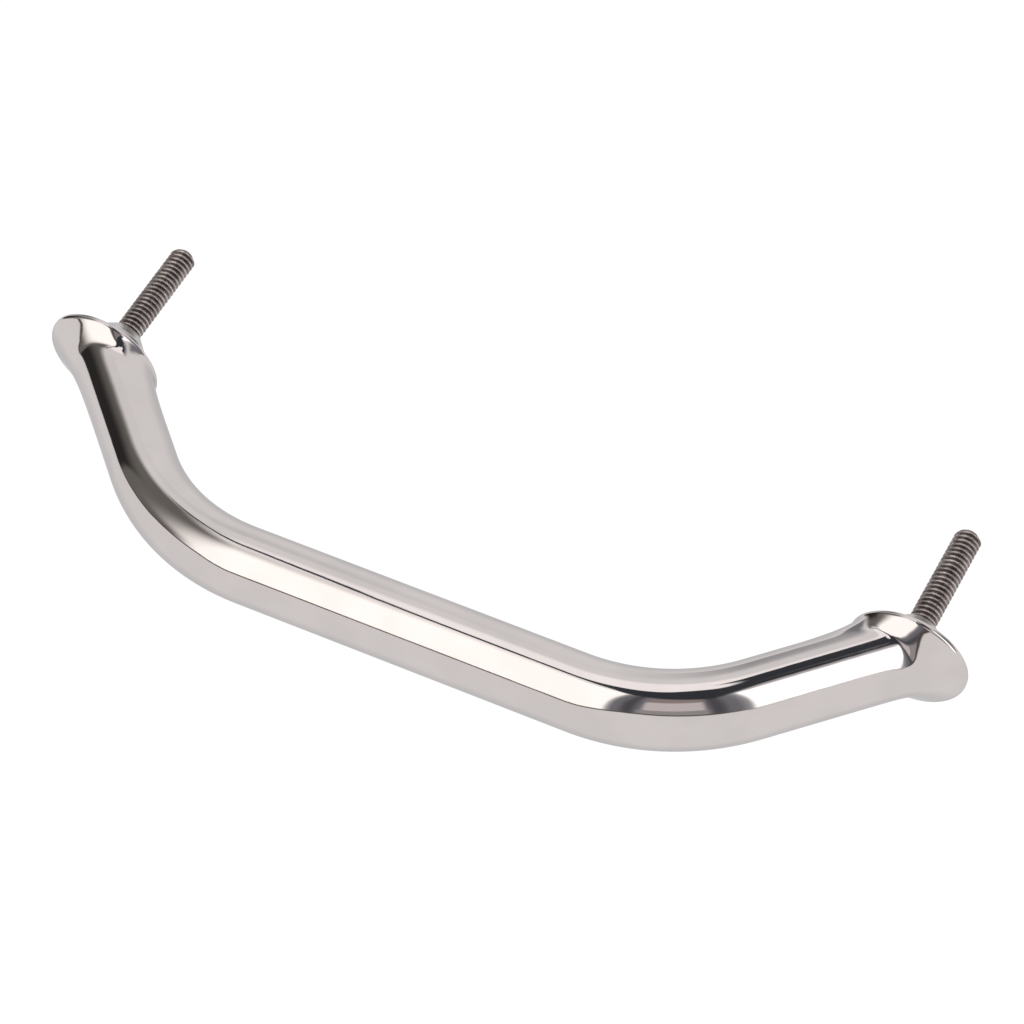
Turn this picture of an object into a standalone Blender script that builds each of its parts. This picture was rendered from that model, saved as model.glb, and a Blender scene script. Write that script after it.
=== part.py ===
"""Stud-mount boat grab rail: one bent oval tube welded to two flared feet.

Axes: X runs along the rail, +Y points into the wall the rail is bolted to (the way the
studs point) and +Z is up.  The origin is midway between the studs on the mounting plane.
"""
import math

import bmesh
import bpy
from mathutils import Matrix, Vector

MM = 0.001

# Rail
STUD_SPACING = 203.2 * MM
GRIP_STANDOFF = 39.8 * MM
LEG_ANGLE = math.radians(45.0)
BEND_RADIUS = 50.0 * MM
TUBE_HALF_DEPTH = 8.1 * MM
TUBE_HALF_HEIGHT = 10.45 * MM
TUBE_WALL = 1.3 * MM
LEG_OFFSET = 0.4 * MM

# Feet
FLARE_LENGTH = 30.0 * MM
FLANGE_RADIUS = 14.1 * MM
FLANGE_OFFSET = 0.8 * MM
LIP_ROUNDING = 0.9 * MM
LIP_LEVEL = 0.55 * MM
LIP_TURN = math.radians(112.0)
BACK_EASE = 0.2 * MM
# Shape in mm at 0 (inboard), 45, 90 (top and bottom), 135 and 180 degrees round the flange:
# how far up the leg its surface turns outward, how long the turn is, and how tight
FOOT_CORNER = (11.0, 10.0, 5.4, 2.0, 2.0)
FOOT_FILLET = (14.0, 14.0, 6.0, 9.0, 25.5)
FOOT_FULLNESS = (1.0, 1.0, 5.0, 6.5, 2.2)

# Base of each foot
PLATE_RADIUS = 10.2 * MM
PLATE_THICKNESS = 0.7 * MM
WELD_BEAD_RADIUS = 0.3 * MM
BOSS_RADIUS = 8.0 * MM
BOSS_SHOULDER = 3.9 * MM
BOSS_HEIGHT = 7.9 * MM
BOSS_TOP_RADIUS = 4.3 * MM

# Studs, 1/4 inch with 20 threads to the inch
STUD_RADIUS = 3.175 * MM
STUD_LENGTH = 36.2 * MM
STUD_TAIL = 3.0 * MM
STUD_CHAMFER = 0.9 * MM
THREAD_PITCH = 1.27 * MM
THREAD_DEPTH = 0.72 * MM

# Joints
GAP = 0.3 * MM
TUBE_WELD_WIDTH = 1.4 * MM

SECTION_STEPS = 40
BEND_STEPS = 10
STRAIGHT_STEPS = 3
FLARE_STEPS = 20
LIP_STEPS = 4
BACK_STEPS = 2
TURNED_STEPS = 48
THREAD_STEPS = 24

SIDES = {"left": -1, "right": 1}


def clear_scene():
    for obj in list(bpy.data.objects):
        bpy.data.objects.remove(obj, do_unlink=True)


def new_collection(name):
    collection = bpy.data.collections.new(name)
    bpy.context.scene.collection.children.link(collection)
    return collection


def steel(name, colour, roughness):
    material = bpy.data.materials.new(name)
    material.use_nodes = True
    shader = material.node_tree.nodes["Principled BSDF"]
    shader.inputs["Base Color"].default_value = (*colour, 1.0)
    shader.inputs["Roughness"].default_value = roughness
    shader.inputs["Metallic"].default_value = 1.0
    material.diffuse_color = (*colour, 1.0)
    return material


def add_object(name, mesh, collection, material=None):
    obj = bpy.data.objects.new(name, mesh)
    collection.objects.link(obj)
    if material is not None:
        mesh.materials.clear()
        mesh.materials.append(material)
    return obj


def shade(mesh, sharp_degrees=35.0):
    mesh.shade_smooth()
    mesh.set_sharp_from_angle(angle=math.radians(sharp_degrees))


def add_solidify(obj, thickness):
    modifier = obj.modifiers.new("wall", "SOLIDIFY")
    modifier.thickness = thickness
    modifier.offset = -1.0
    modifier.use_even_offset = True
    modifier.use_rim = True


def add_boolean(obj, other, operation):
    modifier = obj.modifiers.new(operation.lower(), "BOOLEAN")
    modifier.operation = operation
    modifier.solver = "EXACT"
    modifier.object = other


def stud_frame(side):
    """Object frame whose Z axis runs along the stud, away from the rail."""
    x = side * STUD_SPACING / 2
    return Matrix.Translation((x, 0.0, 0.0)) @ Matrix.Rotation(-math.pi / 2, 4, "X")


def leg_point(side, distance):
    """Point on a leg's axis, measured from the mounting plane along the leg."""
    foot_x = STUD_SPACING / 2 + LEG_OFFSET
    x = foot_x - distance * math.cos(LEG_ANGLE)
    return Vector((side * x, -distance * math.sin(LEG_ANGLE), 0.0))


def bend_points(side):
    """The bend between a leg and the grip, from the leg to the grip."""
    corner_x = STUD_SPACING / 2 + LEG_OFFSET - GRIP_STANDOFF / math.tan(LEG_ANGLE)
    end_x = corner_x - BEND_RADIUS * math.tan(LEG_ANGLE / 2)
    points = []
    for step in range(BEND_STEPS + 1):
        turn = LEG_ANGLE * (1.0 - step / BEND_STEPS)
        x = end_x + BEND_RADIUS * math.sin(turn)
        y = -GRIP_STANDOFF + BEND_RADIUS * (1.0 - math.cos(turn))
        points.append(Vector((side * x, y, 0.0)))
    return points


def poly_curve(name, points, closed=False):
    curve = bpy.data.curves.new(name, "CURVE")
    curve.dimensions = "3D"
    curve.twist_mode = "Z_UP"
    spline = curve.splines.new("POLY")
    spline.points.add(len(points) - 1)
    for target, point in zip(spline.points, points):
        target.co = (*point, 1.0)
    spline.use_cyclic_u = closed
    return curve


def oval_section(collection):
    """Cross-section of the tube, as a closed curve."""
    points = []
    for step in range(SECTION_STEPS):
        angle = -2.0 * math.pi * step / SECTION_STEPS
        x = TUBE_HALF_DEPTH * math.cos(angle)
        y = TUBE_HALF_HEIGHT * math.sin(angle)
        points.append(Vector((x, y, 0.0)))
    section = bpy.data.objects.new("tube_section", poly_curve("tube_section", points, True))
    collection.objects.link(section)
    return section


def oval_sweep(name, points, section, collection, material):
    """Thin oval skin swept along a path, given a wall and small rounded ends."""
    path = bpy.data.objects.new(name + "_path", poly_curve(name + "_path", points))
    path.data.bevel_mode = "OBJECT"
    path.data.bevel_object = section
    collection.objects.link(path)
    depsgraph = bpy.context.evaluated_depsgraph_get()
    mesh = bpy.data.meshes.new_from_object(path.evaluated_get(depsgraph))
    mesh.name = name
    obj = add_object(name, mesh, collection, material)
    obj.matrix_world = path.matrix_world
    bpy.data.objects.remove(path, do_unlink=True)
    shade(mesh)
    add_solidify(obj, TUBE_WALL)
    return obj


def build_rail_tube(section, collection, material):
    start = FLARE_LENGTH + TUBE_WELD_WIDTH + 2 * GAP
    left = [leg_point(-1, start)] + bend_points(-1)
    right = bend_points(1)[::-1] + [leg_point(1, start)]
    return oval_sweep("rail_tube", left + right, section, collection, material)


def build_tube_weld(label, side, section, collection, material):
    """Ring of weld metal, polished flush, between the tube and a foot."""
    start = FLARE_LENGTH + GAP
    points = [leg_point(side, start), leg_point(side, start + TUBE_WELD_WIDTH)]
    if side > 0:
        points.reverse()
    return oval_sweep("tube_weld_" + label, points, section, collection, material)


def round_the_foot(values, angle):
    """Smooth value at an angle, from values at 0 (inboard), 45, 90, 135 and 180 degrees."""
    last = len(values) - 1
    result = 0.0
    for order in range(last + 1):
        total = 0.0
        for place, value in enumerate(values):
            share = 0.5 if place in (0, last) else 1.0
            total += share * value * math.cos(math.pi * order * place / last)
        weight = 1.0 if order in (0, last) else 2.0
        result += weight * total / last * math.cos(order * angle)
    return result


def section_point(angle, side, shrink=0.0):
    """Point of the tube's outline, from its centre; angle 0 is the inboard side."""
    inboard = Vector((-side * math.sin(LEG_ANGLE), math.cos(LEG_ANGLE), 0.0))
    point = inboard * ((TUBE_HALF_DEPTH - shrink) * math.cos(angle))
    point.z = (TUBE_HALF_HEIGHT - shrink) * math.sin(angle)
    return point


def flange_point(side, angle, radius, level):
    """Point round the flange's centre at a level along Y."""
    centre_x = side * (STUD_SPACING / 2 + FLANGE_OFFSET)
    return Vector((centre_x - side * radius * math.cos(angle), level, radius * math.sin(angle)))


def lip_point(side, angle, turn):
    """Point on the lip's rounding: turn 0 faces away from the wall, 90 degrees faces outward."""
    radius = FLANGE_RADIUS - LIP_ROUNDING * (1.0 - math.sin(turn))
    return flange_point(side, angle, radius, -LIP_LEVEL - LIP_ROUNDING * math.cos(turn))


def flare_line(side, angle):
    """Outside of a foot from the tube end to the widest part of the lip, at one angle.

    The line runs straight down the leg, turns through a fillet and slopes out to the lip.
    """
    section = section_point(angle, side)
    corner_height = round_the_foot(FOOT_CORNER, angle) * MM
    fillet = math.exp(round_the_foot([math.log(value) for value in FOOT_FILLET], angle)) * MM
    fullness = math.exp(round_the_foot([math.log(value) for value in FOOT_FULLNESS], angle))
    top_height = min(corner_height + fillet, FLARE_LENGTH - GAP)
    corner = leg_point(side, corner_height) + section
    top = leg_point(side, top_height) + section
    corner_radius = (corner - flange_point(side, angle, 0.0, corner.y)).dot(
        flange_point(side, angle, 1.0, 0.0) - flange_point(side, angle, 0.0, 0.0))
    turn = LEG_ANGLE
    for attempt in range(4):
        radius = FLANGE_RADIUS - LIP_ROUNDING * (1.0 - math.sin(turn))
        level = -LIP_LEVEL - LIP_ROUNDING * math.cos(turn)
        turn = min(math.atan2(level - corner.y, radius - corner_radius), LIP_TURN)
    rim = lip_point(side, angle, turn)
    points = []
    for step in range(STRAIGHT_STEPS):
        height = FLARE_LENGTH + (top_height - FLARE_LENGTH) * step / STRAIGHT_STEPS
        points.append(leg_point(side, height) + section)
    for step in range(FLARE_STEPS + 1):
        blend = step / FLARE_STEPS
        weights = ((1 - blend) ** 2, 2 * blend * (1 - blend) * fullness, blend ** 2)
        mixed = top * weights[0] + corner * weights[1] + rim * weights[2]
        points.append(mixed / sum(weights))
    for step in range(1, LIP_STEPS + 1):
        rest = max(turn, math.pi / 2) - turn
        points.append(lip_point(side, angle, turn + rest * step / LIP_STEPS))
    return points


def foot_line(side, angle):
    """Whole outline of a foot's wall at one angle: outside, lip, recess for the plate, bore."""
    points = flare_line(side, angle)
    for step in range(BACK_STEPS + 1):
        ease = math.radians(30.0 + 60.0 * step / BACK_STEPS)
        radius = FLANGE_RADIUS - BACK_EASE * (1.0 - math.cos(ease))
        points.append(flange_point(side, angle, radius, BACK_EASE * (math.sin(ease) - 1.0)))
    mouth = PLATE_RADIUS + 2 * GAP + 2 * WELD_BEAD_RADIUS
    floor_level = -PLATE_THICKNESS - GAP
    points.append(flange_point(side, angle, mouth, 0.0))
    points.append(flange_point(side, angle, mouth, floor_level))
    section = section_point(angle, side, TUBE_WALL)
    height = (section.y - floor_level) / math.sin(LEG_ANGLE)
    points.append(leg_point(side, height) + section)
    points.append(leg_point(side, FLARE_LENGTH) + section)
    return points


def build_foot(label, side, collection, material):
    """Flared foot: an oval socket that opens into a round flange, recessed for its plate."""
    bm = bmesh.new()
    lines = []
    for step in range(SECTION_STEPS):
        angle = 2.0 * math.pi * step / SECTION_STEPS
        lines.append([bm.verts.new(point) for point in foot_line(side, angle)])
    for index, line in enumerate(lines):
        beside = lines[(index + 1) % SECTION_STEPS]
        for row in range(len(line)):
            after = (row + 1) % len(line)
            bm.faces.new((line[row], beside[row], beside[after], line[after]))
    bmesh.ops.recalc_face_normals(bm, faces=bm.faces)
    mesh = bpy.data.meshes.new("foot_" + label)
    bm.to_mesh(mesh)
    bm.free()
    shade(mesh)
    return add_object("foot_" + label, mesh, collection, material)


def turned(name, profile, collection, material=None, closed=True):
    """Solid of revolution about Z from an outline given as (radius, height) pairs."""
    mesh = bpy.data.meshes.new(name)
    count = len(profile)
    edges = [(index, index + 1) for index in range(count - 1)]
    if closed:
        edges.append((count - 1, 0))
    mesh.from_pydata([(radius, 0.0, height) for radius, height in profile], edges, [])
    obj = add_object(name, mesh, collection, material)
    modifier = obj.modifiers.new("turn", "SCREW")
    modifier.axis = "Z"
    modifier.angle = 2.0 * math.pi
    modifier.steps = TURNED_STEPS
    modifier.render_steps = TURNED_STEPS
    modifier.use_merge_vertices = True
    modifier.merge_threshold = 0.00001
    modifier.use_smooth_shade = True
    return obj


def build_base_plate(label, side, collection, cutters, material):
    """Flat disc that closes the foot, bored for the boss."""
    profile = [(0.0, 0.0), (PLATE_RADIUS, 0.0), (PLATE_RADIUS, -PLATE_THICKNESS),
               (0.0, -PLATE_THICKNESS)]
    plate = turned("base_plate_" + label, profile, collection, material, closed=False)
    offset = Matrix.Translation((side * FLANGE_OFFSET, 0.0, 0.0))
    plate.matrix_world = offset @ stud_frame(side)
    bore_radius = BOSS_RADIUS + GAP
    depth = 3 * PLATE_THICKNESS
    bore_profile = [(0.0, depth), (bore_radius, depth), (bore_radius, -depth), (0.0, -depth)]
    bore = turned("plate_bore_" + label, bore_profile, cutters, closed=False)
    bore.matrix_world = stud_frame(side)
    bore.hide_render = True
    bore.display_type = "WIRE"
    add_boolean(plate, bore, "DIFFERENCE")
    return plate


def build_plate_weld(label, side, collection, material):
    """Weld bead lying between the base plate and the lip of the foot."""
    centre = PLATE_RADIUS + GAP + WELD_BEAD_RADIUS
    profile = []
    for step in range(8):
        angle = -2.0 * math.pi * step / 8
        profile.append((centre + WELD_BEAD_RADIUS * math.cos(angle),
                        -WELD_BEAD_RADIUS + WELD_BEAD_RADIUS * math.sin(angle)))
    bead = turned("plate_weld_" + label, profile, collection, material)
    offset = Matrix.Translation((side * FLANGE_OFFSET, 0.0, 0.0))
    bead.matrix_world = offset @ stud_frame(side)
    return bead


def build_boss(label, side, collection, material):
    """Turned boss set in the base plate: a short cylinder and a cone up to the stud."""
    bore = STUD_RADIUS + GAP
    profile = [(bore, BOSS_HEIGHT), (BOSS_TOP_RADIUS, BOSS_HEIGHT),
               (BOSS_RADIUS, BOSS_SHOULDER), (BOSS_RADIUS, -PLATE_THICKNESS),
               (bore, -PLATE_THICKNESS)]
    boss = turned("stud_boss_" + label, profile, collection, material)
    boss.matrix_world = stud_frame(side)
    return boss


def thread_blank(name, collection, material):
    """Over-long threaded bar: one V tooth wound up the axis and capped."""
    turns = math.ceil((STUD_LENGTH + STUD_TAIL) / THREAD_PITCH) + 4
    root = STUD_RADIUS - THREAD_DEPTH
    bottom = -STUD_TAIL - 2 * THREAD_PITCH
    mesh = bpy.data.meshes.new(name)
    tooth = [(root, 0.0, bottom + THREAD_PITCH),
             (STUD_RADIUS, 0.0, bottom + THREAD_PITCH / 2), (root, 0.0, bottom)]
    mesh.from_pydata(tooth, [(0, 1), (1, 2)], [])
    obj = add_object(name, mesh, collection, material)
    modifier = obj.modifiers.new("wind", "SCREW")
    modifier.axis = "Z"
    modifier.angle = 2.0 * math.pi
    modifier.screw_offset = THREAD_PITCH
    modifier.iterations = turns
    modifier.steps = THREAD_STEPS
    modifier.render_steps = THREAD_STEPS
    depsgraph = bpy.context.evaluated_depsgraph_get()
    wound = bpy.data.meshes.new_from_object(obj.evaluated_get(depsgraph))
    obj.modifiers.clear()
    bm = bmesh.new()
    bm.from_mesh(wound)
    bmesh.ops.remove_doubles(bm, verts=bm.verts, dist=0.00002)
    loose_edges = [edge for edge in bm.edges if edge.is_boundary]
    bmesh.ops.holes_fill(bm, edges=loose_edges, sides=0)
    bmesh.ops.recalc_face_normals(bm, faces=bm.faces)
    bm.to_mesh(mesh)
    bm.free()
    bpy.data.meshes.remove(wound)
    return obj


def build_stud(label, side, collection, cutters, material):
    """Threaded stud: the bar trimmed to length with chamfered ends."""
    stud = thread_blank("stud_" + label, collection, material)
    stud.matrix_world = stud_frame(side)
    narrow = STUD_RADIUS - STUD_CHAMFER
    clear = STUD_RADIUS + GAP
    slope = STUD_CHAMFER + GAP
    profile = [(0.0, STUD_LENGTH), (narrow, STUD_LENGTH), (clear, STUD_LENGTH - slope),
               (clear, slope - STUD_TAIL), (narrow, -STUD_TAIL), (0.0, -STUD_TAIL)]
    envelope = turned("stud_envelope_" + label, profile, cutters, closed=False)
    envelope.matrix_world = stud_frame(side)
    envelope.hide_render = True
    envelope.display_type = "WIRE"
    add_boolean(stud, envelope, "INTERSECT")
    return stud


def build_rail():
    clear_scene()
    parts = new_collection("grab_rail")
    cutters = new_collection("cutters")
    section = oval_section(cutters)
    section.hide_render = True
    section.display_type = "WIRE"

    polished = (0.80, 0.79, 0.78)
    build_rail_tube(section, parts, steel("tube_polished", polished, 0.06))
    for label, side in SIDES.items():
        build_foot(label, side, parts, steel("foot_polished_" + label, polished, 0.07))
        build_tube_weld(label, side, section, parts,
                        steel("tube_weld_polished_" + label, (0.78, 0.77, 0.75), 0.10))
        build_base_plate(label, side, parts, cutters,
                         steel("plate_ground_" + label, (0.66, 0.65, 0.64), 0.32))
        build_plate_weld(label, side, parts,
                         steel("bead_raw_" + label, (0.52, 0.49, 0.45), 0.45))
        build_boss(label, side, parts,
                   steel("boss_turned_" + label, (0.68, 0.67, 0.66), 0.28))
        build_stud(label, side, parts, cutters,
                   steel("stud_rolled_" + label, (0.47, 0.43, 0.40), 0.36))


build_rail()
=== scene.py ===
import math

import bpy
from mathutils import Matrix, Vector


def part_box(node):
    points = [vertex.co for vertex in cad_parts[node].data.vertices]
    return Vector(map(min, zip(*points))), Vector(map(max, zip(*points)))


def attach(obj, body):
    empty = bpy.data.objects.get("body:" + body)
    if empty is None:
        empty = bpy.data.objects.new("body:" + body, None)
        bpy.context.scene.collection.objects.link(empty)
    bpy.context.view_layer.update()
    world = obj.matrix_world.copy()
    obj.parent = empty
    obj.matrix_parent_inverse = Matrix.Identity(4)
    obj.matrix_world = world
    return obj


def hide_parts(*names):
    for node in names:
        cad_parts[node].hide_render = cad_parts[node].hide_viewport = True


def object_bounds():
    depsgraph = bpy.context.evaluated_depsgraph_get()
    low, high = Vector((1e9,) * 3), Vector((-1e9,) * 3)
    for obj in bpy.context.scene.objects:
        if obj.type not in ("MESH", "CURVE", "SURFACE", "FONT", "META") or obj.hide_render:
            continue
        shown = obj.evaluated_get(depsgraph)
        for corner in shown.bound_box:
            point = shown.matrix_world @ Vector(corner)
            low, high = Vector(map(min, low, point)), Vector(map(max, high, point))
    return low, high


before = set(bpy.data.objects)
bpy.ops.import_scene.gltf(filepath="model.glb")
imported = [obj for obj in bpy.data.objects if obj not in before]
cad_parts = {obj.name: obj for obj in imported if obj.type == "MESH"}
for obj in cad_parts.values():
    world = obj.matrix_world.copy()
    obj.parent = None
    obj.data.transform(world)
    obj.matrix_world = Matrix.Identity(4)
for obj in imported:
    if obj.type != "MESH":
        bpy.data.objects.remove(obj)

MM = 0.001
SIDES = {"left": -1, "right": 1}
CAD_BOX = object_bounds()

# Sizes that the frame gives
TUBE_LOW, TUBE_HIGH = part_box("rail_tube")
FOOT_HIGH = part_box("foot_right")[1]
STUD_LOW, STUD_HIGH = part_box("stud_right")
BOSS_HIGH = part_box("stud_boss_right")[1]
PLATE_LOW, PLATE_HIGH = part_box("base_plate_right")
BEAD_LOW, BEAD_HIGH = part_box("plate_weld_right")
STUD_X = (STUD_LOW.x + STUD_HIGH.x) / 2
STUD_TIP = STUD_HIGH.y
STUD_TAIL = STUD_LOW.y
FLANGE_RADIUS = FOOT_HIGH.z
FLANGE_X = FOOT_HIGH.x - FLANGE_RADIUS
PLATE_RADIUS = PLATE_HIGH.z
PLATE_THICKNESS = -PLATE_LOW.y
BOSS_RADIUS = BOSS_HIGH.z
BOSS_HEIGHT = BOSS_HIGH.y
BEAD_RADIUS = -BEAD_LOW.y / 2
BEAD_CENTRE = BEAD_HIGH.z - BEAD_RADIUS
TUBE_HALF_HEIGHT = TUBE_HIGH.z

# The recess in a foot's back fits a little closer round the bead than in the CAD
MOUTH_CLEARANCE = 0.1 * MM
MOUTH_RADIUS = BEAD_HIGH.z + MOUTH_CLEARANCE

# Driving dimensions, the same as the CAD's
TUBE_HALF_DEPTH = 8.1 * MM
GRIP_STANDOFF = -TUBE_LOW.y - TUBE_HALF_DEPTH
LEG_ANGLE = math.radians(45.0)
LEG_OFFSET = 0.4 * MM
BEND_RADIUS = 50.0 * MM
TUBE_WALL = 1.3 * MM
FLARE_LENGTH = 30.0 * MM
# Foot shape in mm at 0 (inboard), 45, 90 (top and bottom), 135 and 180 degrees round the flange:
# how far up the leg its surface turns, how long the turn is, and how tight
FOOT_CORNER = (11.0, 10.0, 5.4, 2.0, 2.0)
FOOT_FILLET = (14.0, 14.0, 6.0, 9.0, 25.5)
FOOT_FULLNESS = (1.0, 1.0, 5.0, 6.5, 2.2)
WELD_WIDTH = 1.4 * MM
CAD_GAP = 0.3 * MM
BOSS_SHOULDER = 3.9 * MM
BOSS_TOP_RADIUS = 4.3 * MM
STUD_RADIUS = 3.175 * MM
THREAD_PITCH = 1.27 * MM
LIP_ROUNDING = 0.9 * MM
LIP_LEVEL = 0.55 * MM
LIP_TURN = math.radians(112.0)
BACK_EASE = 0.2 * MM

# Details that differ from the CAD's: closer gaps, softer edges and a rounder thread
PLATE_EASE = 0.12 * MM
PLATE_BORE_GAP = 0.12 * MM
BOSS_EASE = 0.35 * MM
BOSS_BORE_INSET = 0.3 * MM
THREAD_DEPTH = 0.66 * MM
STUD_CHAMFER = 1.3 * MM
BEAD_RIPPLES = 64
SHARP_EDGE = math.radians(38.0)

# How finely the shapes are divided
SECTION_STEPS = 128
BEND_STEPS = 48
GRIP_STEPS = 24
STRAIGHT_STEPS = 24
FLARE_STEPS = 72
LIP_STEPS = 10
BACK_STEPS = 4
TURNED_STEPS = 96
CONE_STEPS = 24
BEAD_STEPS_PER_RIPPLE = 8
BEAD_SECTION_STEPS = 14
THREAD_STEPS = 72
THREAD_ROWS_PER_TURN = 16


# ---------------------------------------------------------------- mesh tools

def ring_mesh(name, rings, loop=True):
    """Closed surface through rings of equal length; loop joins the last ring to the first."""
    count = len(rings[0])
    verts = [point for ring in rings for point in ring]
    faces = []
    pairs = len(rings) if loop else len(rings) - 1
    for row in range(pairs):
        here = row * count
        there = (row + 1) % len(rings) * count
        for column in range(count):
            after = (column + 1) % count
            faces.append((here + column, here + after, there + after, there + column))
    if not loop:
        faces.append(tuple(reversed(range(count))))
        faces.append(tuple(range(len(verts) - count, len(verts))))
    mesh = bpy.data.meshes.new(name)
    mesh.from_pydata(verts, [], faces)
    add_flow_map(mesh, rings, pairs)
    mesh.validate()
    if signed_volume(mesh) < 0.0:
        mesh.flip_normals()
    mesh.shade_smooth()
    mesh.set_sharp_from_angle(angle=SHARP_EDGE)
    return mesh


def add_flow_map(mesh, rings, pairs):
    """UV map in metres: U runs from ring to ring and V around each ring."""
    count = len(rings[0])
    along = [0.0]
    for row in range(pairs):
        step = (Vector(rings[(row + 1) % len(rings)][0]) - Vector(rings[row][0])).length
        along.append(along[-1] + step)
    ring_centre = sum((Vector(point) for point in rings[0]), Vector()) / count
    around = 2.0 * math.pi * (Vector(rings[0][0]) - ring_centre).length
    layer = mesh.uv_layers.new(name="flow")
    for index, polygon in enumerate(mesh.polygons):
        if index >= pairs * count:
            continue
        row, column = divmod(index, count)
        corners = ((row, column), (row, column + 1), (row + 1, column + 1), (row + 1, column))
        for loop_index, (r, c) in zip(polygon.loop_indices, corners):
            layer.data[loop_index].uv = (along[r], around * c / count)


def signed_volume(mesh):
    mesh.calc_loop_triangles()
    volume = 0.0
    for triangle in mesh.loop_triangles:
        a, b, c = (mesh.vertices[index].co for index in triangle.vertices)
        volume += a.dot(b.cross(c)) / 6.0
    return volume


def add_piece(name, mesh, material, replaced):
    """Shows a mesh in place of a CAD node, riding on the rail's only body."""
    piece = bpy.data.objects.new(name, mesh)
    bpy.context.scene.collection.objects.link(piece)
    mesh.materials.append(material)
    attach(piece, "root")
    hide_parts(replaced)
    return piece


def arc(centre, radius, start, stop, steps):
    """Points (u, v) along an arc, angles in degrees."""
    points = []
    for step in range(steps + 1):
        angle = math.radians(start + (stop - start) * step / steps)
        points.append((centre[0] + radius * math.cos(angle),
                       centre[1] + radius * math.sin(angle)))
    return points


def turned_rings(profile, centre_x, centres=None):
    """Rings about an axis parallel to Y, from (radius, height) pairs."""
    rings = []
    for index, (radius, height) in enumerate(profile):
        x = centres[index] if centres else centre_x
        ring = []
        for step in range(TURNED_STEPS):
            angle = 2.0 * math.pi * step / TURNED_STEPS
            ring.append((x + radius * math.cos(angle), height, radius * math.sin(angle)))
        rings.append(ring)
    return rings


# ---------------------------------------------------------------- rail shape

def leg_point(side, distance):
    """Point on a leg's axis, measured from the mounting plane along the leg."""
    x = STUD_X + LEG_OFFSET - distance * math.cos(LEG_ANGLE)
    return Vector((side * x, -distance * math.sin(LEG_ANGLE), 0.0))


def rail_path():
    """Centreline stations (point, inboard direction) from the left weld to the right one."""
    tube_end = FLARE_LENGTH + CAD_GAP + WELD_WIDTH
    corner_x = STUD_X + LEG_OFFSET - GRIP_STANDOFF / math.tan(LEG_ANGLE)
    end_x = corner_x - BEND_RADIUS * math.tan(LEG_ANGLE / 2)
    left = [(leg_point(-1, tube_end), LEG_ANGLE)]
    for step in range(BEND_STEPS + 1):
        turn = LEG_ANGLE * (1.0 - step / BEND_STEPS)
        x = -end_x - BEND_RADIUS * math.sin(turn)
        y = -GRIP_STANDOFF + BEND_RADIUS * (1.0 - math.cos(turn))
        left.append((Vector((x, y, 0.0)), turn))
    grip = []
    for step in range(1, GRIP_STEPS):
        x = -end_x + 2.0 * end_x * step / GRIP_STEPS
        grip.append((Vector((x, -GRIP_STANDOFF, 0.0)), 0.0))
    right = [(Vector((-point.x, point.y, 0.0)), -turn) for point, turn in reversed(left)]
    return [(point, Vector((math.sin(turn), math.cos(turn), 0.0)))
            for point, turn in left + grip + right]


def oval_ring(centre, inboard, shrink=0.0):
    """Cross-section of the tube; inboard points to the wall side."""
    ring = []
    for step in range(SECTION_STEPS):
        angle = 2.0 * math.pi * step / SECTION_STEPS
        depth = (TUBE_HALF_DEPTH - shrink) * math.cos(angle)
        height = (TUBE_HALF_HEIGHT - shrink) * math.sin(angle)
        ring.append(centre + inboard * depth + Vector((0.0, 0.0, height)))
    return ring


def leg_inboard(side):
    return Vector((-side * math.sin(LEG_ANGLE), math.cos(LEG_ANGLE), 0.0))


def build_tube(material):
    stations = rail_path()
    outside = [oval_ring(point, inboard) for point, inboard in stations]
    inside = [oval_ring(point, inboard, TUBE_WALL) for point, inboard in reversed(stations)]
    mesh = ring_mesh("polished_tube", outside + inside)
    return add_piece("polished_tube", mesh, material, "rail_tube")


def build_tube_weld(label, side, material):
    """Band of weld metal ground flush between the tube and a foot."""
    start = leg_point(side, FLARE_LENGTH + CAD_GAP)
    end = leg_point(side, FLARE_LENGTH + CAD_GAP + WELD_WIDTH)
    inboard = leg_inboard(side)
    rings = [oval_ring(start, inboard), oval_ring(end, inboard),
             oval_ring(end, inboard, TUBE_WALL), oval_ring(start, inboard, TUBE_WALL)]
    name = "flush_weld_" + label
    mesh = ring_mesh(name, rings)
    return add_piece(name, mesh, material, "tube_weld_" + label)


def round_the_foot(values):
    """Smooth function of the angle through values evenly spaced from 0 (inboard) to 180 degrees."""
    last = len(values) - 1
    terms = []
    for order in range(last + 1):
        total = 0.0
        for place, value in enumerate(values):
            share = 0.5 if place in (0, last) else 1.0
            total += share * value * math.cos(math.pi * order * place / last)
        terms.append(total * (1.0 if order in (0, last) else 2.0) / last)
    return lambda angle: sum(term * math.cos(order * angle) for order, term in enumerate(terms))


CORNER_AT = round_the_foot(FOOT_CORNER)
FILLET_AT = round_the_foot([math.log(value) for value in FOOT_FILLET])
FULLNESS_AT = round_the_foot([math.log(value) for value in FOOT_FULLNESS])


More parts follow.
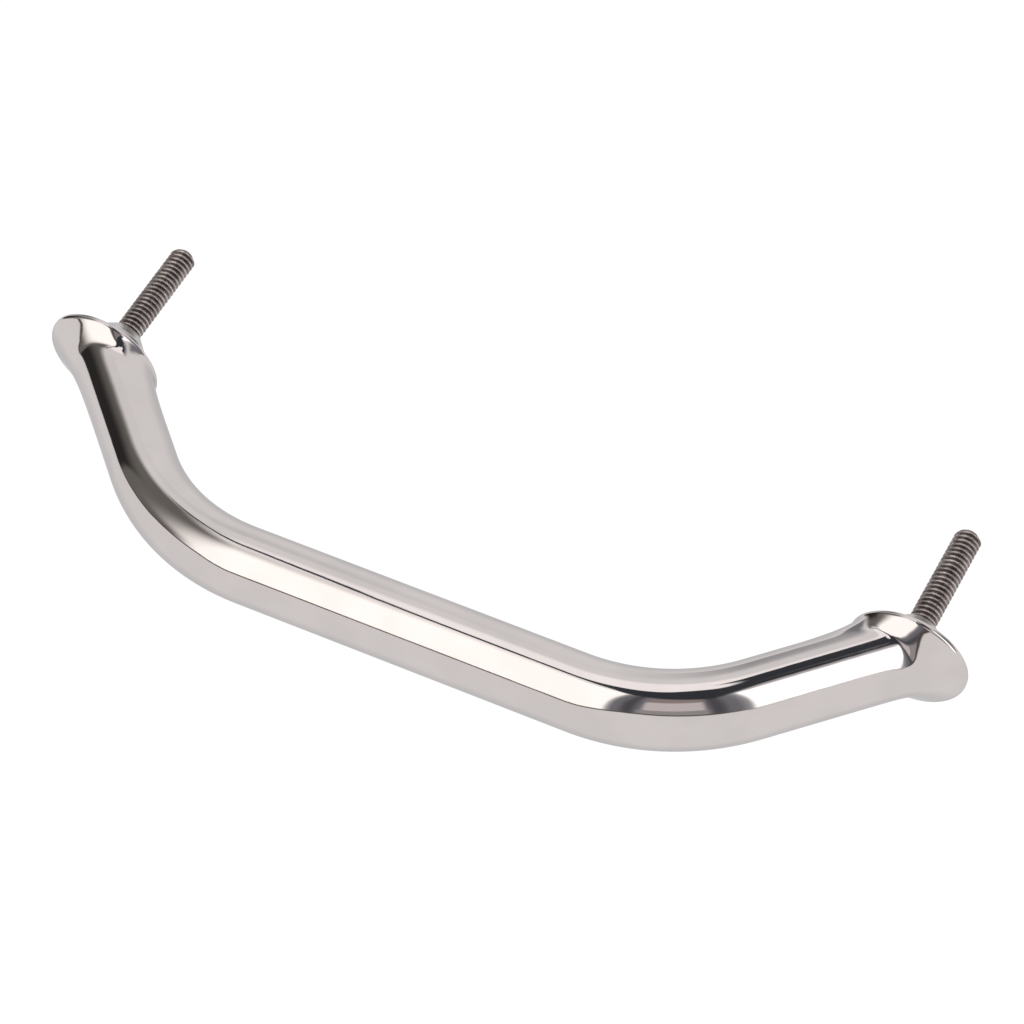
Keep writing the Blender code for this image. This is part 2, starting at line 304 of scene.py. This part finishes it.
def flare_line(side, angle):
    """Points of a foot's surface from the tube end to the lip, at one angle round the foot.

    The line runs straight down the leg, turns through a fillet and then slopes out to the lip.
    """
    inboard = leg_inboard(side)
    section = inboard * (TUBE_HALF_DEPTH * math.cos(angle))
    section.z = TUBE_HALF_HEIGHT * math.sin(angle)
    corner_height = CORNER_AT(angle) * MM
    fillet = math.exp(FILLET_AT(angle)) * MM
    highest = FLARE_LENGTH - 0.5 * MM
    top_height = min(corner_height + fillet, highest)
    fullness = math.exp(FULLNESS_AT(angle))
    centre = Vector((side * FLANGE_X, 0.0, 0.0))
    outward = Vector((-side * math.cos(angle), 0.0, math.sin(angle)))
    corner = leg_point(side, corner_height) + section
    # the lip's place depends on the slope that meets it, so a few passes settle both
    slope = math.radians(40.0)
    for settle_pass in range(4):
        lip_radius = FLANGE_RADIUS - LIP_ROUNDING * (1.0 - math.sin(slope))
        lip_level = -LIP_LEVEL - LIP_ROUNDING * math.cos(slope)
        run = lip_radius - (corner - centre).dot(outward)
        slope = min(math.atan2(lip_level - corner.y, run), LIP_TURN)
    rim = centre + outward * lip_radius + Vector((0.0, lip_level, 0.0))
    top = leg_point(side, top_height) + section
    points = []
    for step in range(STRAIGHT_STEPS):
        share = step / STRAIGHT_STEPS
        height = FLARE_LENGTH + (top_height - FLARE_LENGTH) * share
        points.append(leg_point(side, height) + section)
    for step in range(FLARE_STEPS + 1):
        blend = step / FLARE_STEPS
        weights = ((1 - blend) ** 2, 2 * blend * (1 - blend) * fullness, blend ** 2)
        mixed = top * weights[0] + corner * weights[1] + rim * weights[2]
        points.append(mixed / sum(weights))
    return points, slope


def flange_ring(side, radius, height):
    ring = []
    for step in range(SECTION_STEPS):
        angle = 2.0 * math.pi * step / SECTION_STEPS
        ring.append(Vector((side * (FLANGE_X - radius * math.cos(angle)), height,
                            radius * math.sin(angle))))
    return ring


def build_foot(label, side, material):
    """Flared foot: oval socket, round lip with soft edges, ground back and hollow inside."""
    inboard = leg_inboard(side)
    socket = leg_point(side, FLARE_LENGTH + CAD_GAP)
    angles = [2.0 * math.pi * step / SECTION_STEPS for step in range(SECTION_STEPS)]
    lines = []
    for angle in angles:
        line, slope = flare_line(side, angle)
        outward = Vector((-side * math.cos(angle), 0.0, math.sin(angle)))
        flange_centre = Vector((side * FLANGE_X, -LIP_LEVEL, 0.0))
        centre = flange_centre + outward * (FLANGE_RADIUS - LIP_ROUNDING)
        lip_end = max(slope, math.pi / 2)
        for step in range(1, LIP_STEPS + 1):
            turn = slope + (lip_end - slope) * step / LIP_STEPS
            line.append(centre + outward * (LIP_ROUNDING * math.sin(turn))
                        + Vector((0.0, -LIP_ROUNDING * math.cos(turn), 0.0)))
        lines.append(line)
    rings = [oval_ring(socket, inboard)]
    rings += [list(ring) for ring in zip(*lines)]
    back = arc((FLANGE_RADIUS - BACK_EASE, -BACK_EASE), BACK_EASE, 30, 90, BACK_STEPS)
    rings += [flange_ring(side, radius, height) for radius, height in back]
    floor_level = -PLATE_THICKNESS - CAD_GAP
    rings.append(flange_ring(side, MOUTH_RADIUS, 0.0))
    rings.append(flange_ring(side, MOUTH_RADIUS, floor_level))
    bore = []
    for point in oval_ring(Vector((0.0, 0.0, 0.0)), inboard, TUBE_WALL):
        height = (point.y - floor_level) / math.sin(LEG_ANGLE)
        bore.append(leg_point(side, height) + point)
    rings.append(bore)
    rings.append(oval_ring(socket, inboard, TUBE_WALL))
    name = "flared_foot_" + label
    mesh = ring_mesh(name, rings)
    return add_piece(name, mesh, material, "foot_" + label)


def build_base_plate(label, side, material):
    """Disc that closes the foot, bored round the boss, with eased edges."""
    ease = PLATE_EASE
    bore = BOSS_RADIUS + PLATE_BORE_GAP
    bore_x = side * STUD_X
    disc_x = side * FLANGE_X
    outline = [(bore, -PLATE_THICKNESS, bore_x), (bore, -ease, bore_x), (bore + ease, 0.0, bore_x),
               (PLATE_RADIUS - ease, 0.0, disc_x), (PLATE_RADIUS, -ease, disc_x),
               (PLATE_RADIUS, -PLATE_THICKNESS, disc_x)]
    profile = [(radius, height) for radius, height, x in outline]
    rings = turned_rings(profile, 0.0, centres=[x for radius, height, x in outline])
    name = "ground_plate_" + label
    mesh = ring_mesh(name, rings)
    return add_piece(name, mesh, material, "base_plate_" + label)


def build_plate_weld(label, side, material):
    """Weld bead round the base plate, laid in overlapping ripples."""
    steps = BEAD_RIPPLES * BEAD_STEPS_PER_RIPPLE
    fade = 0.28
    half_width = BEAD_RADIUS * 1.2
    rings = []
    for step in range(steps):
        angle = 2.0 * math.pi * step / steps
        phase = (step * BEAD_RIPPLES / steps) % 1.0
        swell = 1.0 - fade * phase
        ring = []
        for corner in range(BEAD_SECTION_STEPS):
            turn = 2.0 * math.pi * corner / BEAD_SECTION_STEPS
            radius = BEAD_CENTRE + half_width * math.cos(turn)
            height = -BEAD_RADIUS + BEAD_RADIUS * swell * math.sin(turn)
            ring.append((side * FLANGE_X + radius * math.cos(angle), height,
                         radius * math.sin(angle)))
        rings.append(ring)
    name = "weld_bead_" + label
    mesh = ring_mesh(name, rings)
    return add_piece(name, mesh, material, "plate_weld_" + label)


def build_boss(label, side, material):
    """Turned boss: a short wall with an eased edge and a cone up to the stud.

    Its bore lies between the thread's crests and its roots.
    """
    bore = STUD_RADIUS - BOSS_BORE_INSET
    ease = BOSS_EASE
    countersink_depth = 0.1 * MM
    land = 0.3 * MM
    profile = [(bore, -PLATE_THICKNESS), (bore, BOSS_HEIGHT - countersink_depth),
               (BOSS_TOP_RADIUS - land, BOSS_HEIGHT)]
    for step in range(CONE_STEPS + 1):
        share = step / CONE_STEPS
        radius = BOSS_TOP_RADIUS + (BOSS_RADIUS - ease - BOSS_TOP_RADIUS) * share
        height = BOSS_HEIGHT + (BOSS_SHOULDER + ease - BOSS_HEIGHT) * share
        profile.append((radius, height))
    profile += arc((BOSS_RADIUS - ease, BOSS_SHOULDER), ease, 40, 0, 5)
    profile.append((BOSS_RADIUS, -PLATE_THICKNESS))
    name = "turned_boss_" + label
    mesh = ring_mesh(name, turned_rings(profile, side * STUD_X))
    return add_piece(name, mesh, material, "stud_boss_" + label)


def thread_height(phase):
    """Height of a rolled thread's flank, 0 at the root and 1 at the rounded crest."""
    root_edge = 0.86
    flank_width = 0.70
    rounding = 0.45
    distance = abs(phase - 0.5) * 2.0
    flank = min(max((root_edge - distance) / flank_width, 0.0), 1.0)
    return flank * flank * (3.0 - 2.0 * flank) * rounding + flank * (1.0 - rounding)


def build_stud(label, side, material):
    """Rolled-thread stud with chamfered ends."""
    length = STUD_TIP - STUD_TAIL
    rows = round(length / THREAD_PITCH * THREAD_ROWS_PER_TURN)
    rings = []
    crest = []
    for row in range(rows + 1):
        height = STUD_TAIL + length * row / rows
        from_end = min(height - STUD_TAIL, STUD_TIP - height)
        cap = STUD_RADIUS - STUD_CHAMFER + min(from_end, STUD_CHAMFER)
        ring = []
        for column in range(THREAD_STEPS):
            angle = 2.0 * math.pi * column / THREAD_STEPS
            phase = (height / THREAD_PITCH + angle / (2.0 * math.pi)) % 1.0
            lift = thread_height(phase)
            radius = min(STUD_RADIUS - THREAD_DEPTH * (1.0 - lift), cap)
            ring.append((side * STUD_X + radius * math.cos(angle), height,
                         radius * math.sin(angle)))
            crest.append(lift)
        rings.append(ring)
    name = "rolled_stud_" + label
    mesh = ring_mesh(name, rings, loop=False)
    # the crest attribute drives the stud material's painted highlight on the crests and painted
    # shade in the roots
    attribute = mesh.attributes.new("crest", "FLOAT", "POINT")
    attribute.data.foreach_set("value", crest)
    return add_piece(name, mesh, material, "stud_" + label)


# ---------------------------------------------------------------- materials

class Nodes:
    """Short calls for adding and linking shader nodes."""

    def __init__(self, owner):
        owner.use_nodes = True
        self.tree = owner.node_tree
        self.tree.nodes.clear()

    def add(self, kind, inputs=None, **settings):
        node = self.tree.nodes.new(kind)
        for key, value in settings.items():
            setattr(node, key, value)
        for key, value in (inputs or {}).items():
            self.put(node.inputs[key], value)
        return node

    def put(self, socket, value):
        if isinstance(value, bpy.types.NodeSocket):
            self.tree.links.new(value, socket)
        else:
            socket.default_value = value

    def math(self, operation, first, second=0.0):
        node = self.add("ShaderNodeMath", {0: first, 1: second}, operation=operation)
        return node.outputs[0]

    def fit(self, value, low, high, to_low=0.0, to_high=1.0, smooth=True):
        """Rescales value from low..high to to_low..to_high, clamped."""
        kind = "SMOOTHSTEP" if smooth else "LINEAR"
        node = self.add("ShaderNodeMapRange", {"Value": value, "From Min": low,
                        "From Max": high, "To Min": to_low, "To Max": to_high},
                        interpolation_type=kind)
        return node.outputs["Result"]

    def mix(self, factor, first, second):
        node = self.add("ShaderNodeMix", {"Factor": factor, 6: first, 7: second},
                        data_type="RGBA")
        return node.outputs[2]

    def noise(self, vector, scale, detail=2.0, stretch=(1.0, 1.0, 1.0)):
        mapping = self.add("ShaderNodeMapping", {"Vector": vector, "Scale": stretch})
        node = self.add("ShaderNodeTexNoise", {"Vector": mapping.outputs[0], "Scale": scale,
                                               "Detail": detail})
        return node.outputs["Fac"]

    def bump(self, height, distance, strength=1.0, normal=None):
        inputs = {"Height": height, "Distance": distance, "Strength": strength}
        if normal is not None:
            inputs["Normal"] = normal
        return self.add("ShaderNodeBump", inputs).outputs["Normal"]

    def surface(self, shader):
        output = self.add("ShaderNodeOutputMaterial")
        self.tree.links.new(shader.outputs[0], output.inputs["Surface"])


def colour(red, green, blue):
    return (red, green, blue, 1.0)


EDGE_TINT = colour(0.86, 0.86, 0.86)
POLISH_TINT = (0.612, 0.567, 0.559)
PLATE_TINT = (0.50, 0.49, 0.475)
BOSS_TINT = (0.60, 0.575, 0.565)
# How each polished part was finished; stretch draws the polishing lines out along or around it
TUBE_POLISH = {"haze": 0.035, "scratch": 0.0012 * MM, "stretch": (0.03, 1.0, 1.0),
               "wave": 0.014 * MM}
FOOT_POLISH = {"haze": 0.04, "scratch": 0.0012 * MM, "stretch": (1.0, 0.03, 1.0),
               "wave": 0.05 * MM}
WELD_POLISH = {"haze": 0.05, "scratch": 0.0015 * MM, "stretch": (1.0, 0.05, 1.0),
               "wave": 0.03 * MM}


def polished_steel(name, haze, scratch, stretch, wave):
    """Mirror-polished steel: faint cloudiness, hairline scratches and a hand-polished waviness."""
    material = bpy.data.materials.new(name)
    n = Nodes(material)
    place = n.add("ShaderNodeTexCoord").outputs["Object"]
    flow = n.add("ShaderNodeUVMap", uv_map="flow").outputs["UV"]
    cloud = n.noise(place, 90.0, 3.0)
    wipe = n.noise(flow, 260.0, 4.0, stretch)
    hairline = n.noise(flow, 2600.0, 2.0, stretch)
    darker = colour(*(0.955 * channel for channel in POLISH_TINT))
    base = n.mix(n.fit(cloud, 0.35, 0.65), darker, colour(*POLISH_TINT))
    roughness = n.math("ADD", n.fit(wipe, 0.4, 0.75, haze, haze * 2.2),
                       n.fit(cloud, 0.3, 0.7, 0.0, haze * 0.5))
    lines = n.fit(hairline, 0.60, 0.74)
    wavy = n.bump(n.noise(place, 70.0, 1.0), wave)
    wavy = n.bump(n.noise(place, 240.0, 1.5), wave * 0.35, 1.0, wavy)
    normal = n.bump(lines, scratch, 0.5, wavy)
    shader = n.add("ShaderNodeBsdfPrincipled", {"Base Color": base, "Metallic": 1.0,
                   "Roughness": roughness, "Specular Tint": EDGE_TINT, "Normal": normal})
    n.surface(shader)
    return material


def ground_steel(name, tint, roughness, radial):
    """Steel left as machined, with rings about the stud or straight grinding lines."""
    material = bpy.data.materials.new(name)
    n = Nodes(material)
    place = n.add("ShaderNodeTexCoord").outputs["Object"]
    flow = n.add("ShaderNodeUVMap", uv_map="flow").outputs["UV"]
    if radial:
        lines = n.noise(flow, 2600.0, 2.0, (1.0, 0.01, 1.0))
    else:
        lines = n.noise(place, 3600.0, 3.0, (1.0, 1.0, 0.02))
    stain = n.noise(place, 320.0, 4.0)
    darker = colour(*(0.84 * channel for channel in tint))
    base = n.mix(n.fit(stain, 0.35, 0.7), darker, colour(*tint))
    rough = n.fit(lines, 0.3, 0.7, roughness * 0.75, roughness * 1.3)
    normal = n.bump(lines, 0.002 * MM, 0.8)
    shader = n.add("ShaderNodeBsdfPrincipled", {"Base Color": base, "Metallic": 1.0,
                   "Roughness": rough, "Normal": normal})
    n.surface(shader)
    return material


def weld_steel(name):
    """Weld bead as laid: straw and blue heat tints over a rippled grey bead."""
    material = bpy.data.materials.new(name)
    n = Nodes(material)
    place = n.add("ShaderNodeTexCoord").outputs["Object"]
    heat = n.noise(place, 260.0, 3.0)
    straw = n.mix(n.fit(heat, 0.40, 0.58), colour(0.36, 0.34, 0.32), colour(0.46, 0.36, 0.22))
    base = n.mix(n.fit(heat, 0.58, 0.72), straw, colour(0.22, 0.24, 0.34))
    grain = n.noise(place, 5200.0, 3.0)
    rough = n.fit(grain, 0.3, 0.7, 0.28, 0.46)
    shader = n.add("ShaderNodeBsdfPrincipled", {"Base Color": base, "Metallic": 1.0,
                   "Roughness": rough, "Normal": n.bump(grain, 0.01 * MM, 0.6)})
    n.surface(shader)
    return material


def rolled_steel(name):
    """Rolled stud: crests painted bright as a painted highlight, roots painted darker and brownish
    as painted shade in the thread's hollows, and a fine grain.
    """
    material = bpy.data.materials.new(name)
    n = Nodes(material)
    place = n.add("ShaderNodeTexCoord").outputs["Object"]
    crest = n.add("ShaderNodeAttribute", attribute_name="crest").outputs["Fac"]
    grain = n.noise(place, 2400.0, 4.0)
    patch = n.noise(place, 420.0, 3.0)
    root = n.mix(n.fit(patch, 0.35, 0.65), colour(0.15, 0.122, 0.115), colour(0.26, 0.222, 0.21))
    bright = n.mix(n.fit(patch, 0.35, 0.65), colour(0.50, 0.46, 0.45), colour(0.72, 0.68, 0.67))
    # painted highlight on the thread crests and painted shade in the roots, following the crest
    # attribute
    crest_highlight_mask = n.fit(n.math("ADD", crest, n.math("MULTIPLY", grain, 0.25)), 0.92, 1.22)
    base = n.mix(crest_highlight_mask, root, bright)
    rough = n.fit(grain, 0.3, 0.7, 0.24, 0.42)
    shader = n.add("ShaderNodeBsdfPrincipled", {"Base Color": base, "Metallic": 1.0,
                   "Roughness": rough, "Normal": n.bump(grain, 0.006 * MM, 0.5)})
    n.surface(shader)
    return material


# ---------------------------------------------------------------- studio

class Surroundings:
    """The studio as the polish sees it: soft-edged panels on a dome.

    Azimuth 0 is in front of the rail (-Y), 90 is to its right (+X). Roll is the angle about the
    rail's own X axis, 0 in front and 90 overhead, and across is how far a direction leans to +X.
    Angles are in degrees.
    """

    def __init__(self, shade):
        self.world = bpy.data.worlds.new("studio")
        bpy.context.scene.world = self.world
        self.n = Nodes(self.world)
        self.direction = self.n.add("ShaderNodeTexCoord").outputs["Generated"]
        axes = self.n.add("ShaderNodeSeparateXYZ", {"Vector": self.direction}).outputs
        front = self.n.math("MULTIPLY", axes["Y"], -1.0)
        self.azimuth = self.degrees(self.n.math("ARCTAN2", axes["X"], front))
        self.elevation = self.degrees(self.n.math("ARCSINE", axes["Z"]))
        self.roll = self.degrees(self.n.math("ARCTAN2", axes["Z"], front))
        self.across = axes["X"]
        self.image = shade

    def degrees(self, value):
        return self.n.math("MULTIPLY", value, math.degrees(1.0))

    def graph(self, value, points):
        """Smooth curve through (value, result) points."""
        left, right = points[0][0], points[-1][0]
        bottom = min(result for place, result in points) - 1.0
        top = max(result for place, result in points) + 1.0
        share = self.n.fit(value, left, right, smooth=False)
        node = self.n.add("ShaderNodeFloatCurve", {"Value": share})
        curve = node.mapping.curves[0]
        scaled = [((place - left) / (right - left), (result - bottom) / (top - bottom))
                  for place, result in points]
        curve.points[0].location = scaled[0]
        curve.points[1].location = scaled[-1]
        for place in scaled[1:-1]:
            curve.points.new(*place)
        node.mapping.update()
        return self.n.fit(node.outputs[0], 0.0, 1.0, bottom, top, smooth=False)

    def band(self, value, limits, feather):
        """1 between two limits and 0 outside, with an edge of its own width at each end."""
        low, high = limits
        before, after = feather
        rise = self.n.fit(value, low - before / 2, low + before / 2)
        fall = self.n.fit(value, high - after / 2, high + after / 2, 1.0, 0.0)
        return self.n.math("MULTIPLY", rise, fall)

    def lay(self, mask, shade):
        self.image = self.n.mix(mask, self.image, shade)

    def panel(self, azimuths, elevations, shade, side_feather=(4.0, 4.0),
              end_feather=(4.0, 4.0), falloff=1.0):
        """Lays one panel over what is there; a falloff above 1 holds back its soft edges."""
        sides = self.band(self.azimuth, azimuths, side_feather)
        ends = self.band(self.elevation, elevations, end_feather)
        mask = self.n.math("MULTIPLY", sides, ends)
        if falloff != 1.0:
            mask = self.n.math("POWER", mask, falloff)
        self.lay(mask, shade)

    def between(self, value, low_edge, high_edge, feather, shade, reach, reach_feather):
        """Fills the gap between two curves with a shade, over a reach of the across value."""
        above = self.n.fit(self.n.math("SUBTRACT", value, low_edge), -feather, feather)
        under = self.n.fit(self.n.math("SUBTRACT", high_edge, value), -feather, feather)
        mask = self.n.math("MULTIPLY", above, under)
        inside = self.band(self.across, reach, reach_feather)
        self.lay(self.n.math("MULTIPLY", mask, inside), shade)

    def spot(self, azimuth, elevation, reach, shade):
        """Lays a soft round patch, full at one direction and gone at reach degrees from it."""
        turn, lift = math.radians(azimuth), math.radians(elevation)
        centre = (math.sin(turn) * math.cos(lift), -math.cos(turn) * math.cos(lift), math.sin(lift))
        toward = self.n.add("ShaderNodeVectorMath", {0: self.direction, 1: centre},
                            operation="DOT_PRODUCT").outputs["Value"]
        away = self.degrees(self.n.math("ARCCOSINE", toward))
        self.lay(self.n.fit(away, 0.0, reach, 1.0, 0.0, smooth=False), shade)

    def finish(self, backdrop):
        """The camera sees a plain backdrop; everything else sees the panels."""
        reflected = self.n.add("ShaderNodeBackground", {"Color": self.image})
        plain = self.n.add("ShaderNodeBackground", {"Color": backdrop})
        camera_ray = self.n.add("ShaderNodeLightPath").outputs["Is Camera Ray"]
        both = self.n.add("ShaderNodeMixShader", {"Fac": camera_ray, 1: reflected.outputs[0],
                                                  2: plain.outputs[0]})
        output = self.n.add("ShaderNodeOutputWorld")
        self.n.tree.links.new(both.outputs[0], output.inputs["Surface"])


BACKDROP = colour(1.03, 1.03, 1.03)
FLOOR_WHITE = colour(1.0, 1.0, 1.0)
FLOOR_SHADE = colour(0.62, 0.62, 0.63)
CEILING = colour(1.40, 1.38, 1.38)
SOFTBOX = colour(1.78, 1.74, 1.68)
CARD_WHITE = colour(2.2, 2.2, 2.2)
FLAG_BLACK = colour(0.035, 0.032, 0.032)
OLIVE = colour(0.19, 0.185, 0.17)
ROOM_GREY = colour(0.23, 0.235, 0.26)
WALL_GREY = colour(0.26, 0.27, 0.29)
ROOM_DARK = colour(0.05, 0.055, 0.065)
ROOM_COLUMN = colour(0.11, 0.11, 0.125)
ROOM_SHADE = colour(0.42, 0.41, 0.41)
ROOM_PINK = colour(0.80, 0.75, 0.75)
ROOM_BROWN = colour(0.38, 0.32, 0.31)
BROWN = colour(0.13, 0.10, 0.088)

# Where the floor ends, as (azimuth, elevation)
FLOOR_EDGE = ((-180, -8), (-100, -9), (-90, -8), (-80, -5), (-70, -1), (-60, 1), (-50, 3),
              (-40, 2.5), (-32, -0.5), (-26, -3), (-20, -4), (-14, -3), (-7, 1), (0, 6), (8, 10),
              (15, 11), (30, 10), (40, 8), (50, 5), (57, 0), (100, 0), (180, 0))
# Edges of the dark beam overhead, as (across, roll)
BEAM_LOW = ((-0.52, 105.5), (-0.49, 102), (-0.456, 98), (-0.43, 92), (-0.39, 87),
            (-0.37, 83.2), (-0.35, 78.6), (-0.33, 75.2), (-0.27, 75), (-0.14, 70), (0, 62),
            (0.45, 60))
BEAM_HIGH = ((-0.52, 112), (-0.49, 108.5), (-0.456, 104.5), (-0.43, 98.5), (-0.39, 93.5),
             (-0.37, 90), (-0.35, 86), (-0.33, 81), (-0.29, 80.4), (-0.15, 80.2),
             (0, 80.8), (0.1, 87), (0.45, 88))


def build_surroundings():
    s = Surroundings(FLOOR_WHITE)
    wide = (-400.0, 400.0)
    s.panel(wide, (66, 120), CEILING, end_feather=(10, 4))
    # left side: dark olive wall that brightens into the big softbox
    s.panel((-112, -36), (-20, 61), OLIVE, (24, 4), (4, 10))
    s.panel((-62, -1), (-20, 66), SOFTBOX, (60, 3), (4, 4), falloff=3.6)
    # shadow over the softbox's low end
    s.panel((-70, -44), (-6, 13), OLIVE, (16, 16), (4, 16))
    # black flag beside the left leg
    s.panel((-116, -80), (-20, 28), FLAG_BLACK, (24, 4), (3, 30))
    # dark room in front of the right bend
    s.panel((-1, 54), (-20, 68), ROOM_GREY, (4, 12), (4, 4))
    s.panel((10, 38), (-20, 22), ROOM_SHADE, (5, 5), (4, 4))
    s.panel((11, 37), (45, 56), ROOM_BROWN, (5, 5), (3, 5))
    s.panel((4, 9), (10, 64), ROOM_COLUMN, (4, 4), (4, 4))
    s.panel((38, 44), (8, 62), ROOM_COLUMN, (4, 5), (4, 4))
    s.panel((12, 36), (22, 45), ROOM_PINK, (3, 3), (3, 4))
    # white card beside the right leg
    s.panel((54, 78), (3, 57), CARD_WHITE, (3, 6), (3, 4))
    # grey walls behind the rail, to its right and left
    s.panel((92, 146), (4, 46), WALL_GREY, (18, 20), (6, 24))
    s.panel((-150, -122), (4, 40), WALL_GREY, (20, 10), (6, 24))
    # dark beam overhead, with its thin end over the left bend
    s.panel((45, 180), (63, 81), ROOM_DARK, (10, 8), (24, 3))
    s.between(s.roll, s.graph(s.across, BEAM_LOW), s.graph(s.across, BEAM_HIGH), 0.7, ROOM_DARK,
              (-0.5, 0.42), (0.04, 0.06))
    # the floor, with a thin dark line where it ends
    edge = s.graph(s.azimuth, FLOOR_EDGE)
    above_floor = s.n.math("SUBTRACT", s.elevation, edge)
    s.lay(s.n.fit(above_floor, -1.0, 1.0, 1.0, 0.0), FLOOR_WHITE)
    line = s.n.math("MULTIPLY", s.band(above_floor, (-1.4, 1.4), (1.2, 1.2)),
                    s.band(s.azimuth, (-78, 50), (14, 8)))
    s.lay(line, BROWN)
    # the floor beyond the rail, where its outline glances
    s.spot(azimuth=-149, elevation=-51, reach=55, shade=FLOOR_SHADE)
    s.finish(BACKDROP)


def build_floor():
    """Plain white floor below the flanges, seen from above only.

    It glows evenly and takes no part in the lighting, so it shows no shadow.
    """
    radius = 4.0
    level = CAD_BOX[0].z - 0.2 * MM
    corners = 64
    ring = [(radius * math.cos(2 * math.pi * k / corners),
             radius * math.sin(2 * math.pi * k / corners), level) for k in range(corners)]
    mesh = bpy.data.meshes.new("floor")
    mesh.from_pydata(ring, [], [tuple(range(corners))])
    floor = bpy.data.objects.new("floor", mesh)
    bpy.context.scene.collection.objects.link(floor)
    material = bpy.data.materials.new("floor_white")
    n = Nodes(material)
    glow = n.add("ShaderNodeEmission", {"Color": BACKDROP})
    clear = n.add("ShaderNodeBsdfTransparent")
    below = n.add("ShaderNodeNewGeometry").outputs["Backfacing"]
    both = n.add("ShaderNodeMixShader", {"Fac": below, 1: glow.outputs[0], 2: clear.outputs[0]})
    n.surface(both)
    mesh.materials.append(material)
    floor.visible_glossy = False
    floor.visible_diffuse = False
    floor.visible_shadow = False


def build_camera():
    """Long lens, looking down from the front right, tilted and aimed a little off the origin."""
    azimuth = math.radians(30.79)
    elevation = math.radians(51.15)
    roll = math.radians(-4.567)
    distance = 864.15 * MM
    aside = 4.605 * MM
    below = 2.579 * MM
    back = Vector((math.sin(azimuth) * math.cos(elevation),
                   -math.cos(azimuth) * math.cos(elevation), math.sin(elevation)))
    level = Vector((math.cos(azimuth), math.sin(azimuth), 0.0))
    rise = level.cross(-back)
    right = math.cos(roll) * level + math.sin(roll) * rise
    up = -math.sin(roll) * level + math.cos(roll) * rise
    spot = right * aside - up * below + back * distance
    data = bpy.data.cameras.new("camera")
    data.sensor_width = 36.0
    data.lens = 134.22
    data.clip_start = 0.05
    data.clip_end = 50.0
    camera = bpy.data.objects.new("camera", data)
    bpy.context.scene.collection.objects.link(camera)
    axes = Matrix((right, up, back)).transposed().to_4x4()
    camera.matrix_world = Matrix.Translation(spot) @ axes
    bpy.context.scene.camera = camera


def build_all():
    view = bpy.context.scene.view_settings
    view.view_transform = "Standard"
    build_camera()
    build_surroundings()
    build_floor()
    build_tube(polished_steel("polished_tube_steel", **TUBE_POLISH))
    for label, side in SIDES.items():
        foot_steel = polished_steel("polished_foot_steel_" + label, **FOOT_POLISH)
        build_foot(label, side, foot_steel)
        flush_steel = polished_steel("polished_weld_steel_" + label, **WELD_POLISH)
        build_tube_weld(label, side, flush_steel)
        plate_steel = ground_steel("ground_plate_steel_" + label, PLATE_TINT, 0.34, radial=False)
        build_base_plate(label, side, plate_steel)
        build_plate_weld(label, side, weld_steel("bead_steel_" + label))
        boss_steel = ground_steel("turned_boss_steel_" + label, BOSS_TINT, 0.30, radial=True)
        build_boss(label, side, boss_steel)
        build_stud(label, side, rolled_steel("rolled_stud_steel_" + label))


build_all()
